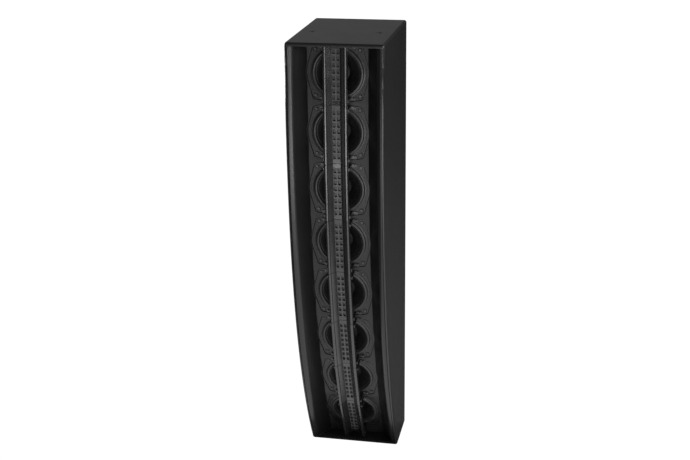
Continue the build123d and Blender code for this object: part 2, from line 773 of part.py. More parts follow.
with BuildPart() as tweeter_front_plates:
    for k in range(MODULES):
        with BuildSketch(facet_plane(k, THROAT_DEPTH)):
            Rectangle(2 * TWEETER_HALF, TWEETER_LENGTH)
            with GridLocations(SLOT_COLUMNS, SLOT_PITCH, 2, 8):
                RectangleRounded(SLOT_WIDTH, SLOT_LENGTH, SLOT_RADIUS, mode=Mode.SUBTRACT)
        extrude(amount=-TWEETER_SHEET)
finish(tweeter_front_plates, "tweeter_front_plates")

with BuildPart() as tweeter_magnets:
    for k in range(MODULES):
        with BuildSketch(facet_plane(k, THROAT_DEPTH + TWEETER_SHEET)):
            for x, width in ((0, 3.6), (-14, 5), (14, 5)):
                with Locations((x, 0)):
                    Rectangle(width, ACTIVE_LENGTH - 2)
        extrude(amount=-3)
finish(tweeter_magnets, "tweeter_magnets")

with BuildPart() as tweeter_membranes:
    for k in range(MODULES):
        with BuildSketch(facet_plane(k, MEMBRANE_DEPTH)):
            Rectangle(2 * SEAT_HALF - 0.4, ACTIVE_LENGTH - 0.4)
        extrude(amount=-MEMBRANE_THICK)
finish(tweeter_membranes, "tweeter_membranes")

with BuildPart() as tweeter_rear_covers:
    for k in range(MODULES):
        back_plane = facet_plane(k, HOUSING_DEPTH - 1)
        seat_height = HOUSING_DEPTH - 1 - MEMBRANE_DEPTH - MEMBRANE_THICK
        full_height = HOUSING_DEPTH - 1 - THROAT_DEPTH - TWEETER_SHEET
        with BuildSketch(back_plane):
            Rectangle(2 * TWEETER_HALF, TWEETER_LENGTH)
        extrude(amount=full_height)
        with BuildSketch(back_plane.offset(2)):
            Rectangle(2 * CAVITY_HALF, ACTIVE_LENGTH - 8)
        extrude(amount=full_height, mode=Mode.SUBTRACT)
        with BuildSketch(back_plane.offset(seat_height)):
            Rectangle(2 * SEAT_HALF, ACTIVE_LENGTH)
        extrude(amount=full_height, mode=Mode.SUBTRACT)
finish(tweeter_rear_covers, "tweeter_rear_covers")

with BuildPart() as waveguide_screws:
    screws(
        [facet_plane(k, SEAT_DEPTH - FLANGE_PROUD - FOOT_THICK) for k in range(MODULES)],
        four_corners(FOOT_X, FOOT_Y),
        head=3.2,
        head_thick=2.0,
        shank=1.5,
        length=8.0,
        drive=1.3,
    )
finish(waveguide_screws, "waveguide_screws")


# ---------------------------------------------------------------- fixings and electrics


def threaded_insert(plane):
    """Flanged insert, its flange on the plane and its body behind it."""
    ring(plane.offset(-SINK - INSERT_FLANGE_THICK), INSERT_FLANGE - 0.1, INSERT_BORE, INSERT_FLANGE_THICK)
    ring(plane.offset(-INSERT_LENGTH), INSERT_BODY - 0.1, INSERT_BORE, INSERT_LENGTH - SINK)


with BuildPart() as threaded_inserts:
    for x in (-RIG_SPACING / 2, RIG_SPACING / 2):
        threaded_insert(Plane((x, 0, 0), z_dir=(0, 0, 1)))
    for x, z in rear_inserts:
        threaded_insert(Plane((x, BACK, z), x_dir=(1, 0, 0), z_dir=(0, 1, 0)))
finish(threaded_inserts, "threaded_inserts")

with BuildPart() as side_blanking_screws:
    for side in (-1, 1):
        sunk = WIDTH / 2 - BLANK_HEAD_THICK - BLANK_SINK
        head_plane = Plane((side * sunk, 0, 0), x_dir=(0, 1, 0), z_dir=(side, 0, 0))
        spots = [(y, side * z) for y, z in SIDE_FIXINGS]
        screws(
            [head_plane],
            spots,
            head=BLANK_HEAD,
            head_thick=BLANK_HEAD_THICK,
            shank=BLANK_SHANK - 0.05,
            length=SIDE - 3,
            drive=2.3,
        )
finish(side_blanking_screws, "side_blanking_screws")

with BuildPart() as connector_plate:
    with BuildSketch(rear_plane):
        with Locations((0, PLATE_Z)):
            RectangleRounded(PLATE_X_SIZE, PLATE_Z_SIZE, PLATE_CORNER)
            with GridLocations(SOCKET_SPACING, 1, 2, 1):
                Circle(SOCKET_RADIUS + 0.1, mode=Mode.SUBTRACT)
            with GridLocations(2 * PLATE_SCREW_X, 2 * PLATE_SCREW_Z, 2, 2):
                Circle(1.9, mode=Mode.SUBTRACT)
    extrude(amount=PLATE_SHEET - 0.2)
    front_face = connector_plate.faces().sort_by(Axis.Y)[-1]
    chamfer(front_face.outer_wire().edges(), 0.6)
finish(connector_plate, "connector_plate")

SOCKET_FACE = 2.0
with BuildPart() as speaker_sockets:
    for x in (-SOCKET_SPACING / 2, SOCKET_SPACING / 2):
        face = Plane((x, BACK, PLATE_Z), x_dir=(1, 0, 0), z_dir=(0, -1, 0))
        with BuildSketch(face.offset(-SOCKET_FACE)):
            Circle(SOCKET_BEZEL)
        extrude(amount=SOCKET_FACE)
        with BuildSketch(face.offset(-SOCKET_FACE)):
            Circle(SOCKET_RADIUS)
        extrude(amount=SOCKET_FACE + SOCKET_LENGTH)
        with BuildSketch(face.offset(-SOCKET_FACE)):
            Circle(SOCKET_MOUTH)
            Circle(SOCKET_PIN, mode=Mode.SUBTRACT)
        extrude(amount=SOCKET_LENGTH - 6, mode=Mode.SUBTRACT)
finish(speaker_sockets, "speaker_sockets")

with BuildPart() as connector_plate_screws:
    screws(
        [Plane((0, BACK, PLATE_Z), x_dir=(-1, 0, 0), z_dir=(0, 1, 0))],
        four_corners(PLATE_SCREW_X, PLATE_SCREW_Z),
        head=3.4,
        head_thick=1.8,
        shank=1.55,
        length=11.0,
        drive=1.3,
    )
finish(connector_plate_screws, "connector_plate_screws")

board_plane = Plane((0, INNER_BACK - STANDOFF, BOARD_Z), x_dir=(-1, 0, 0), z_dir=(0, -1, 0))
BOARD_HOLE_X = BOARD_X_SIZE / 2 - 8
BOARD_HOLE_Z = BOARD_Z_SIZE / 2 - 8
with BuildPart() as crossover_board:
    with BuildSketch(board_plane):
        RectangleRounded(BOARD_X_SIZE, BOARD_Z_SIZE, 4)
    extrude(amount=BOARD_THICK)
    with BuildSketch(board_plane):
        with GridLocations(2 * BOARD_HOLE_X, 2 * BOARD_HOLE_Z, 2, 2):
            Circle(4)
    extrude(amount=-STANDOFF)
finish(crossover_board, "crossover_board")

top_of_board = board_plane.offset(BOARD_THICK)
with BuildPart() as crossover_parts:
    for x, y, radius, bore, height in ((-60, 20, 26, 10, 24), (5, 25, 22, 9, 20), (62, 18, 26, 10, 24)):
        with BuildSketch(top_of_board):
            with Locations((x, y)):
                Circle(radius)
                Circle(bore, mode=Mode.SUBTRACT)
        extrude(amount=height)
    with BuildSketch(top_of_board):
        with Locations((-70, -35), (-46, -35), (-22, -35)):
            Circle(9)
    extrude(amount=30)
    with BuildSketch(top_of_board):
        with Locations((20, -30), (20, -46), (62, -38)):
            Rectangle(34, 11)
    extrude(amount=11)
finish(crossover_parts, "crossover_parts")

with BuildPart() as internal_wiring:
    loom_top = seat_plane(0).origin.Z - 20
    loom_bottom = seat_plane(MODULES - 1).origin.Z
    with BuildSketch(Plane((LOOM_X, LOOM_Y, loom_bottom))):
        Circle(LOOM_RADIUS)
    extrude(amount=loom_top - loom_bottom)
    for k in range(MODULES):
        seat = seat_plane(k)
        tap = seat.from_local_coords(Vector(-62.0, 0, -33.0))
        corner_y = tap.Y + 34
        with BuildLine() as lead:
            FilletPolyline(
                (LOOM_X, LOOM_Y - LOOM_RADIUS, tap.Z),
                (LOOM_X, corner_y, tap.Z),
                (tap.X, tap.Y, tap.Z),
                radius=14,
            )
        with BuildSketch(Plane((LOOM_X, LOOM_Y - LOOM_RADIUS, tap.Z), x_dir=(1, 0, 0), z_dir=(0, -1, 0))):
            Circle(LEAD_RADIUS)
        sweep(path=lead.line)
    for x in (-SOCKET_SPACING / 2, SOCKET_SPACING / 2):
        rear = INNER_BACK + PANEL - SOCKET_LENGTH
        board_edge = BOARD_Z - BOARD_Z_SIZE / 2
        with BuildLine() as feed:
            FilletPolyline(
                (x, rear, PLATE_Z),
                (x, rear - 24, PLATE_Z),
                (x, rear - 24, board_edge - 12),
                (x, INNER_BACK - STANDOFF - 1, board_edge - 3),
                radius=6,
            )
        with BuildSketch(Plane((x, rear, PLATE_Z), x_dir=(1, 0, 0), z_dir=(0, -1, 0))):
            Circle(LEAD_RADIUS)
        sweep(path=feed.line)
finish(internal_wiring, "internal_wiring")
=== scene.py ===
import json
import math

import bpy
from mathutils import Matrix, Vector, noise


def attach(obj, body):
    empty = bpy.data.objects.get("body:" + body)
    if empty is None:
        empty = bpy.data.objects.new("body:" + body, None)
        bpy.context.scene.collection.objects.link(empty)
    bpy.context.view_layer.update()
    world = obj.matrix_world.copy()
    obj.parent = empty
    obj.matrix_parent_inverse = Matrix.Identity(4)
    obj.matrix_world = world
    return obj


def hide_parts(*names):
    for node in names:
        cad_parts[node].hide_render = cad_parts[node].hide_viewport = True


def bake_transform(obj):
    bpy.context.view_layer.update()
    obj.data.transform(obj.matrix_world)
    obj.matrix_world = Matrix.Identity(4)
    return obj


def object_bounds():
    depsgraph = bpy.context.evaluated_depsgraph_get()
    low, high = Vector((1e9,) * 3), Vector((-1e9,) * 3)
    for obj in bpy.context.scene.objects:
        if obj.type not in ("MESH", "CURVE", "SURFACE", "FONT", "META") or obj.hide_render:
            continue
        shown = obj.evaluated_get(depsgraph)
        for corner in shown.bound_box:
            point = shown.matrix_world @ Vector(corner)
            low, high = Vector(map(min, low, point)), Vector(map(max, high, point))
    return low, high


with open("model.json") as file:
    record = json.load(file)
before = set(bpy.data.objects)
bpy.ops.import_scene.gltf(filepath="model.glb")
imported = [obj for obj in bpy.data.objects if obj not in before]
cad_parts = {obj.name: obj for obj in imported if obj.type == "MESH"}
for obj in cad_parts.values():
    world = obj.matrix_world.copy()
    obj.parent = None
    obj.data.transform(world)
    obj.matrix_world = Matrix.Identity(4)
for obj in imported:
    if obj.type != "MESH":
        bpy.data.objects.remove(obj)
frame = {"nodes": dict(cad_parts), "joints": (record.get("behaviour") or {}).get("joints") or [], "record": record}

CAD_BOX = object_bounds()

# A column line array loudspeaker, in metres. The driver axes come from the frame's joints.
MODULES = 8
PITCH = 0.167  # one module along the curved front
CHAIN_START = Vector((0, -0.160, -0.005))  # first joint of the facets
SEAT_DEPTH = 0.047  # surround seat behind the facets
FULL_TURN = 2 * math.pi
MM = 0.001
PAINTED_GAP_SHADE = 0.0015  # painted shade deep in a narrow gap
GAP_ROUGHNESS = 0.95


# ---------------------------------------------------------------- node helpers


class Shader:
    """One procedural material, built node by node around a Principled BSDF."""

    def __init__(self, name, roughness, **fixed):
        self.material = bpy.data.materials.new(name)
        self.material.use_nodes = True
        self.tree = self.material.node_tree
        self.bsdf = self.tree.nodes["Principled BSDF"]
        self.bsdf.inputs["Roughness"].default_value = roughness
        for socket, value in fixed.items():
            self.bsdf.inputs[socket.replace("_", " ")].default_value = value
        self.place = self.add("ShaderNodeTexCoord").outputs["Object"]

    def add(self, kind, **settings):
        node = self.tree.nodes.new(kind)
        for key, value in settings.items():
            setattr(node, key, value)
        return node

    def link(self, source, target):
        self.tree.links.new(source, target)

    def stretched(self, scale):
        """Object coordinates scaled by a different number along each axis."""
        mapping = self.add("ShaderNodeMapping")
        mapping.inputs["Scale"].default_value = scale
        self.link(self.place, mapping.inputs["Vector"])
        return mapping.outputs["Vector"]

    def noise(self, scale, detail=3.0, roughness=0.5, place=None):
        node = self.add("ShaderNodeTexNoise")
        node.inputs["Scale"].default_value = scale
        node.inputs["Detail"].default_value = detail
        node.inputs["Roughness"].default_value = roughness
        self.link(place or self.place, node.inputs["Vector"])
        return node.outputs["Fac"]

    def cells(self, scale):
        node = self.add("ShaderNodeTexVoronoi", feature="F1")
        node.inputs["Scale"].default_value = scale
        self.link(self.place, node.inputs["Vector"])
        return node.outputs["Distance"]

    def ramp(self, factor, *stops):
        """Grey or colour ramp through (position, value) stops."""
        node = self.add("ShaderNodeValToRGB")
        elements = node.color_ramp.elements
        while len(elements) < len(stops):
            elements.new(1.0)
        for element, (position, value) in zip(elements, stops):
            element.position = position
            colour = value if hasattr(value, "__len__") else (value, value, value)
            element.color = (*colour, 1)
        self.link(factor, node.inputs["Fac"])
        return node.outputs["Color"]

    def product(self, first, second):
        node = self.add("ShaderNodeMath", operation="MULTIPLY")
        self.link(first, node.inputs[0])
        self.link(second, node.inputs[1])
        return node.outputs["Value"]

    def mix(self, factor, first, second):
        """From first at factor 0 to second at 1; each is a colour or another node's output."""
        node = self.add("ShaderNodeMix", data_type="RGBA")
        self.link(factor, node.inputs["Factor"])
        for socket, value in ((node.inputs["A"], first), (node.inputs["B"], second)):
            if hasattr(value, "__len__"):
                socket.default_value = (*value, 1)
            else:
                self.link(value, socket)
        return node.outputs["Result"]

    def crevice(self, reach):
        """How open the surface is, as the mask for painted shade in gaps: 0 deep in a gap narrower than the reach,
        and 1 in the open.
        """
        node = self.add("ShaderNodeAmbientOcclusion", samples=6)
        node.inputs["Distance"].default_value = reach
        return self.ramp(node.outputs["AO"], (0.3, 0.0), (0.85, 1.0))

    def colour(self, source):
        self.link(source, self.bsdf.inputs["Base Color"])

    def rough(self, source):
        self.link(source, self.bsdf.inputs["Roughness"])

    def painted_shade_in_gaps(self, reach, tone, polish):
        """Colour painted near black as shade inside narrow gaps, and roughness that turns dull there."""
        open_air = self.crevice(reach)
        # painted shade: ambient occlusion turns the colour near black in narrow gaps
        self.colour(self.mix(open_air, grey(PAINTED_GAP_SHADE), tone))
        self.rough(self.mix(open_air, grey(GAP_ROUGHNESS), polish))

    def bump(self, *layers):
        """Stack bump layers given as (height, strength, distance in metres)."""
        normal = None
        for height, strength, distance in layers:
            node = self.add("ShaderNodeBump")
            node.inputs["Strength"].default_value = strength
            node.inputs["Distance"].default_value = distance
            self.link(height, node.inputs["Height"])
            if normal:
                self.link(normal, node.inputs["Normal"])
            normal = node.outputs["Normal"]
        self.link(normal, self.bsdf.inputs["Normal"])


def grey(value):
    """Grey with a trace of blue."""
    return (value, value, value * 1.03)


# ---------------------------------------------------------------- materials


def textured_paint(name, base, roughness):
    """Sprayed polyurea: fine pebbled skin with faint blotches, and painted shade near black in narrow gaps."""
    shader = Shader(name, roughness, Specular_IOR_Level=0.5)
    pebble = shader.cells(620.0)
    grain = shader.noise(1400.0, detail=2)
    blotch = shader.noise(9.0, detail=4)
    tone = shader.ramp(blotch, (0.3, grey(base * 0.88)), (0.7, grey(base * 1.12)))
    fleck = shader.ramp(grain, (0.35, 0.0), (0.75, 1.0))
    polish = shader.ramp(blotch, (0.3, roughness - 0.015), (0.7, roughness + 0.02))
    # painted shade: near black colour inside narrow gaps
    shader.painted_shade_in_gaps(0.006, shader.mix(fleck, tone, grey(base * 1.3)), polish)
    shader.bump((pebble, 0.12, 0.0003), (grain, 0.1, 0.0002))
    return shader.material


def moulded_plastic(name, base, roughness):
    """Injection moulding: fine spark texture with faint flow marks."""
    shader = Shader(name, roughness, Specular_IOR_Level=0.9)
    spark = shader.noise(900.0, detail=2)
    flow = shader.noise(25.0, detail=3)
    tone = shader.ramp(flow, (0.3, grey(base * 0.92)), (0.7, grey(base * 1.08)))
    polish = shader.ramp(flow, (0.3, roughness - 0.03), (0.7, roughness + 0.05))
    # painted shade: near black colour inside narrow gaps
    shader.painted_shade_in_gaps(0.005, tone, polish)
    shader.bump((spark, 0.06, 0.0001))
    return shader.material


def powder_coat(name, base, roughness):
    """Baked coat with orange peel and faint patches."""
    shader = Shader(name, roughness, Specular_IOR_Level=0.5)
    peel = shader.noise(420.0, detail=2)
    patch = shader.noise(40.0, detail=3)
    tone = shader.ramp(patch, (0.3, grey(base * 0.9)), (0.7, grey(base * 1.1)))
    polish = shader.ramp(patch, (0.3, roughness - 0.04), (0.7, roughness + 0.04))
    # painted shade: near black colour inside narrow gaps
    shader.painted_shade_in_gaps(0.004, tone, polish)
    shader.bump((peel, 0.2, 0.0002))
    return shader.material


def bare_plywood():
    shader = Shader("bare_plywood", 0.6)
    veneer = shader.noise(30.0, detail=6, place=shader.stretched((1.0, 8.0, 8.0)))
    fibre = shader.noise(500.0, detail=3, place=shader.stretched((0.2, 1.0, 1.0)))
    dark, middle, light = (0.42, 0.28, 0.15), (0.6, 0.44, 0.27), (0.7, 0.55, 0.36)
    shader.colour(shader.ramp(veneer, (0.3, dark), (0.5, middle), (0.7, light)))
    shader.bump((fibre, 0.3, 0.0003))
    return shader.material


def wadding():
    shader = Shader("wadding", 0.95, Sheen_Weight=0.4)
    tuft = shader.noise(120.0, detail=6, roughness=0.7)
    strand = shader.noise(900.0, detail=4, place=shader.stretched((1.0, 0.3, 1.0)))
    shader.colour(shader.ramp(tuft, (0.3, (0.58, 0.58, 0.56)), (0.7, (0.8, 0.8, 0.78))))
    shader.bump((tuft, 0.6, 0.004), (strand, 0.5, 0.0008))
    return shader.material


def cone_paper():
    shader = Shader("cone_paper", 0.62, Specular_IOR_Level=0.22)
    fibre = shader.noise(700.0, detail=5, roughness=0.65)
    clump = shader.noise(90.0, detail=3)
    shader.colour(shader.ramp(clump, (0.3, grey(0.004)), (0.7, grey(0.007))))
    shader.rough(shader.ramp(clump, (0.3, 0.55), (0.7, 0.7)))
    shader.bump((fibre, 0.35, 0.0003))
    return shader.material


def rubber():
    shader = Shader("surround_rubber", 0.42, Specular_IOR_Level=0.5)
    skin = shader.noise(800.0, detail=2)
    bloom = shader.noise(35.0, detail=3)
    shader.colour(shader.ramp(bloom, (0.3, grey(0.02)), (0.7, grey(0.03))))
    shader.rough(shader.ramp(bloom, (0.3, 0.36), (0.7, 0.5)))
    shader.bump((skin, 0.15, 0.0002))
    return shader.material


def metal(name, colour, roughness, dull):
    """Plated or machined metal with fine scratches and dull patches."""
    shader = Shader(name, roughness, Metallic=1.0)
    scratch = shader.noise(300.0, detail=4, place=shader.stretched((1.0, 12.0, 1.0)))
    patch = shader.noise(45.0, detail=4)
    dark = tuple(channel * dull for channel in colour)
    shader.colour(shader.ramp(patch, (0.35, dark), (0.65, colour)))
    shader.rough(shader.ramp(patch, (0.3, roughness), (0.75, roughness + 0.18)))
    shader.bump((scratch, 0.12, 0.0001))
    return shader.material


def ferrite():
    shader = Shader("ferrite", 0.55)
    grit = shader.cells(900.0)
    chip = shader.noise(60.0, detail=5)
    shader.colour(shader.ramp(chip, (0.3, grey(0.035)), (0.7, grey(0.075))))
    shader.bump((grit, 0.3, 0.0003), (chip, 0.2, 0.001))
    return shader.material


def spider_cloth():
    """Resin-dipped cotton: crossed threads under an amber gloss."""
    shader = Shader("spider_cloth", 0.5, Sheen_Weight=0.2)
    warp = shader.add("ShaderNodeTexWave", bands_direction="X")
    weft = shader.add("ShaderNodeTexWave", bands_direction="Z")
    for wave in (warp, weft):
        wave.inputs["Scale"].default_value = 500.0
        wave.inputs["Distortion"].default_value = 1.0
        shader.link(shader.place, wave.inputs["Vector"])
    threads = shader.product(warp.outputs["Fac"], weft.outputs["Fac"])
    resin = shader.noise(80.0, detail=4)
    shader.colour(shader.ramp(resin, (0.3, (0.4, 0.22, 0.06)), (0.7, (0.62, 0.4, 0.14))))
    shader.bump((threads, 0.5, 0.0004))
    return shader.material


def film():
    """Dark coated film with faint conductor tracks along the slots."""
    shader = Shader("membrane_film", 0.3)
    tracks = shader.add("ShaderNodeTexWave", bands_direction="X")
    tracks.inputs["Scale"].default_value = 160.0
    shader.link(shader.place, tracks.inputs["Vector"])
    mask = shader.ramp(tracks.outputs["Fac"], (0.45, 0.0), (0.55, 1.0))
    crease = shader.noise(60.0, detail=3)
    black = shader.ramp(crease, (0.3, grey(0.03)), (0.7, grey(0.04)))
    # painted shade: near black colour at the slot edges and other narrow gaps
    shader.painted_shade_in_gaps(0.0012, shader.mix(mask, black, grey(0.045)), grey(0.32))
    shader.bump((crease, 0.1, 0.0003), (mask, 0.08, 0.0001))
    return shader.material


def circuit_board():
    """Green solder mask over etched tracks."""
    shader = Shader("circuit_board", 0.35, Coat_Weight=0.3)
    lanes = shader.add("ShaderNodeTexBrick", offset=0.35, squash=1.6)
    lanes.inputs["Scale"].default_value = 34.0
    lanes.inputs["Mortar Size"].default_value = 0.03
    turned = shader.add("ShaderNodeMapping")
    turned.inputs["Rotation"].default_value = (math.radians(90), 0, 0)
    shader.link(shader.place, turned.inputs["Vector"])
    shader.link(turned.outputs["Vector"], lanes.inputs["Vector"])
    weave = shader.noise(600.0, detail=2)
    mask = shader.ramp(weave, (0.3, (0.01, 0.09, 0.04)), (0.7, (0.015, 0.13, 0.06)))
    shader.colour(shader.mix(lanes.outputs["Fac"], mask, (0.03, 0.24, 0.1)))
    shader.bump((lanes.outputs["Fac"], 0.3, 0.0001), (weave, 0.1, 0.0001))
    return shader.material


def two_tone(name, dark, light, scale, roughness):
    """Small hidden parts: mottled between two tones, with a fine skin."""
    shader = Shader(name, roughness)
    mottle = shader.noise(scale, detail=4)
    skin = shader.noise(scale * 12, detail=2)
    shader.colour(shader.ramp(mottle, (0.3, dark), (0.7, light)))
    shader.rough(shader.ramp(mottle, (0.3, roughness), (0.7, roughness + 0.12)))
    shader.bump((skin, 0.2, 0.0002))
    return shader.material


MATERIALS = {
    "cabinet_paint": textured_paint("cabinet_paint", 0.012, 0.35),
    # painted shade: a darker copy of the cabinet paint for the shade inside the horn flares
    "flare_paint_with_painted_shade": textured_paint("flare_paint_with_painted_shade", 0.006, 0.3),
    "baffle_paint": textured_paint("baffle_paint", 0.01, 0.5),
    "bare_plywood": bare_plywood(),
    "wadding": wadding(),
    "cast_frame": powder_coat("cast_frame", 0.012, 0.4),
    "cone_paper": cone_paper(),
    "surround_rubber": rubber(),
    "plated_steel": metal("plated_steel", (0.56, 0.56, 0.55), 0.3, 0.75),
    "ferrite": ferrite(),
    "spider_cloth": spider_cloth(),
    "black_screw": metal("black_screw", (0.12, 0.12, 0.125), 0.35, 0.7),
    "waveguide_plastic": moulded_plastic("waveguide_plastic", 0.008, 0.24),
    "tweeter_plate": powder_coat("tweeter_plate", 0.06, 0.34),
    "membrane_film": film(),
    "plate_paint": powder_coat("plate_paint", 0.03, 0.4),
    "socket_plastic": moulded_plastic("socket_plastic", 0.02, 0.4),
    "circuit_board": circuit_board(),
    "components": two_tone("components", (0.3, 0.09, 0.02), (0.5, 0.18, 0.05), 60.0, 0.3),
    "ceramic": two_tone("ceramic", (0.6, 0.59, 0.55), (0.72, 0.71, 0.67), 80.0, 0.5),
    "cable_jacket": two_tone("cable_jacket", grey(0.012), grey(0.022), 90.0, 0.45),
}


def paint(obj, material):
    obj.data.materials.clear()
    obj.data.materials.append(material)


# Every CAD node takes its record slot's material, and the horn flares a darker copy of the cabinet paint as
# painted shade.
for row in frame["record"]["subparts"]:
    paint(frame["nodes"][row["node"]], MATERIALS[row["material_slot"]])
for side in ("left", "right"):
    paint(frame["nodes"][f"horn_flare_{side}"], MATERIALS["flare_paint_with_painted_shade"])


# ---------------------------------------------------------------- driver frames

AXES = {joint["child"]: Vector(joint["axis"]) for joint in frame["joints"]}


def outward(k):
    """Unit vector out of facet k, which is the axis of its woofer's joint."""
    return AXES[f"cone_{k + 1}"].normalized()


def down(k):
    """Unit vector down facet k."""
    return outward(k).cross(Vector((-1, 0, 0)))


def facet_matrix(k, depth):
    """Frame on facet k's centre line, behind the facet: X across, Y up the facet, Z outwards."""
    centre = CHAIN_START + sum((down(j) * PITCH for j in range(k)), down(k) * (PITCH / 2))
    z_axis = outward(k)
    y_axis = -down(k)
    x_axis = y_axis.cross(z_axis)
    turned = Matrix((x_axis, y_axis, z_axis)).transposed().to_4x4()
    return Matrix.Translation(centre - z_axis * depth) @ turned


WOOFER_SEAT = {k: facet_matrix(k, SEAT_DEPTH) for k in range(MODULES)}


# ---------------------------------------------------------------- new pieces

# Faces of a block whose corners run through x, then y, then z, each low before high.
BLOCK_SIDES = [(0, 1, 3, 2), (4, 6, 7, 5), (0, 4, 5, 1), (2, 3, 7, 6), (0, 2, 6, 4), (1, 5, 7, 3)]


def new_object(name, vertices, faces, material_slot, body="root", soft_edge=40.0):
    """Mesh in the shared frame with one material, smooth except across sharp edges.

    It takes the material named by its slot. With no body, it is left unattached.
    """
    mesh = bpy.data.meshes.new(name)
    mesh.from_pydata([tuple(v) for v in vertices], [], faces)
    mesh.validate()
    mesh.shade_smooth()
    mesh.set_sharp_from_angle(angle=math.radians(soft_edge))
    mesh.materials.append(MATERIALS[material_slot])
    piece = bpy.data.objects.new(name, mesh)
    bpy.context.scene.collection.objects.link(piece)
    if body:
        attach(piece, body)
    return piece


def lathe(name, profile, place, material_slot, body="root", steps=96, soft_edge=40.0):
    """Revolves a closed (radius, height) outline, in millimetres, about a placement's Z axis."""
    vertices, faces = [], []
    for step in range(steps):
        angle = FULL_TURN * step / steps
        for radius, height in profile:
            spot = Vector((radius * math.cos(angle), radius * math.sin(angle), height)) * MM
            vertices.append(place @ spot)
    count = len(profile)
    for step in range(steps):
        here, there = step * count, (step + 1) % steps * count
        for n in range(count):
            m = (n + 1) % count
            faces.append((here + n, there + n, there + m, here + m))
    return new_object(name, vertices, faces, material_slot, body, soft_edge)


def thicken(line, thickness):
    """Closed outline round a (radius, height) line, with the thickness all on its underside."""
    under = []
    for n, (radius, height) in enumerate(line):
        before, after = line[max(n - 1, 0)], line[min(n + 1, len(line) - 1)]
        run = Vector((after[0] - before[0], after[1] - before[1])).normalized()
        under.append((radius + run.y * thickness, height - run.x * thickness))
    return line + under[::-1]


def arc_points(centre, radius, first, last, count):
    """Points of an arc in degrees, from 0 along +radius towards 90 along +height."""
    angles = [math.radians(first + (last - first) * n / (count - 1)) for n in range(count)]
    return [(centre[0] + radius * math.cos(a), centre[1] + radius * math.sin(a)) for a in angles]


def round_edges(piece, width, segments=1):
    rounding = piece.modifiers.new("rounding", "BEVEL")
    rounding.width = width
    rounding.segments = segments


def box_mesh(name, low, high, bevel, material_slot):
    """Block with rounded edges between two corners in metres."""
    (x0, y0, z0), (x1, y1, z1) = low, high
    vertices = [(x, y, z) for x in (x0, x1) for y in (y0, y1) for z in (z0, z1)]
    piece = new_object(name, vertices, BLOCK_SIDES, material_slot)
    round_edges(piece, bevel, segments=3)
    return piece


# ---------------------------------------------------------------- surrounds and spiders

# Sizes in millimetres; heights are measured outwards from the woofer's seat.
ROLL_CENTRE = 67.4
ROLL_OUTSIDE = 5.6
ROLL_STEPS = 14  # points along each half of the roll
RUBBER = 1.2
LIP_EDGE = 76.2
LIP_LOWEST = 0.02  # the glued lip lies just on its seat
CONE_LIP = [(61.7, 0.1), (61.2, -0.1), (60.6, -0.35), (60.0, -0.65), (59.4, -1.05)]
SPIDER_CLOTH = 0.7
SPIDER_RIM = 50.6
SPIDER_COLLAR = 21.0
FORMER = 20.3
CORRUGATIONS = 8  # half waves across the spider
CORRUGATION_HEIGHT = 0.8
CORRUGATION_STEPS = 6  # points along each half wave
CORRUGATED = (23.5, 45.5)
CUP_LOW = -37.6
CUP_RISE = 4.3
SPIDER_SEAT = -33.25


def surround(k):
    """Rubber half-roll in two pieces: an outer half that stays put and an inner half left unattached."""
    place = WOOFER_SEAT[k]
    crest = (ROLL_CENTRE, 0)
    lip = [(LIP_EDGE - 0.4, RUBBER * 0.65), (ROLL_CENTRE + ROLL_OUTSIDE + 0.9, RUBBER * 0.7)]
    outer_line = arc_points(crest, ROLL_OUTSIDE, 90, 12, ROLL_STEPS) + lip[::-1]
    outer_line.append((LIP_EDGE, 0.55))
    outer_shape = [(r, max(h, LIP_LOWEST)) for r, h in thicken(outer_line, RUBBER)]
    outer = lathe(
        f"surround_outer_{k + 1}", outer_shape, place, "surround_rubber", steps=128, soft_edge=60
    )
    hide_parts(f"woofer_surround_{k + 1}")
    inner_line = CONE_LIP[::-1] + arc_points(crest, ROLL_OUTSIDE, 166, 90, ROLL_STEPS)
    inner_shape = thicken(inner_line, RUBBER * 0.6)
    inner = lathe(f"surround_inner_{k + 1}", inner_shape, place, "surround_rubber", "", 128, 60)
    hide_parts(f"woofer_surround_{k + 1}")
    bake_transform(inner)


def spider(k):
    """Cupped cloth spider: corrugations that drop to a collar glued round the coil's former."""
    place = WOOFER_SEAT[k]
    line = [(FORMER, -40.2), (FORMER + 0.1, -38.6), (SPIDER_COLLAR + 0.6, -37.7)]
    first, last = CORRUGATED
    steps = CORRUGATIONS * CORRUGATION_STEPS
    for n in range(steps + 1):
        along = n / steps
        ripple = CORRUGATION_HEIGHT * math.sin(along * CORRUGATIONS * math.pi)
        line.append((first + (last - first) * along, CUP_LOW + CUP_RISE * along**0.8 + ripple))
    line += [(47.0, SPIDER_SEAT), (SPIDER_RIM, SPIDER_SEAT)]
    piece = lathe(f"spider_{k + 1}", thicken(line, SPIDER_CLOTH), place, "spider_cloth", "", 96, 60)
    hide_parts("woofer_spiders")
    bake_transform(piece)


for k in range(MODULES):
    surround(k)
    spider(k)


# ---------------------------------------------------------------- wadding

INNER_BACK = 0.214  # inner face of the back panel
WADDING_STRIPS = [(-0.030, -0.300), (-0.370, -0.570), (-1.080, -1.150)]  # top and bottom edges
WADDING_HALF = 0.072
WADDING_LOFT = 0.0225
WADDING_BACK = 0.0004  # glue line behind the sheet
WADDING_COLUMNS = 36
WADDING_ROW = 0.004
TORN_LUMPS = 60  # lumps of fibre per metre, roughly
STAPLE_SIDE = 0.045
STAPLE_SHARES = (0.15, 0.5, 0.85)
STAPLE_SPREAD = 0.0001  # square metres


def sheet_rim(rows, columns):
    """Indices of the vertices round the edge of a grid, in order."""
    rim = list(range(columns + 1))
    rim += [(i + 1) * (columns + 1) - 1 for i in range(1, rows + 1)]
    rim += [rows * (columns + 1) + j for j in range(columns - 1, -1, -1)]
    return rim + [i * (columns + 1) for i in range(rows - 1, 0, -1)]


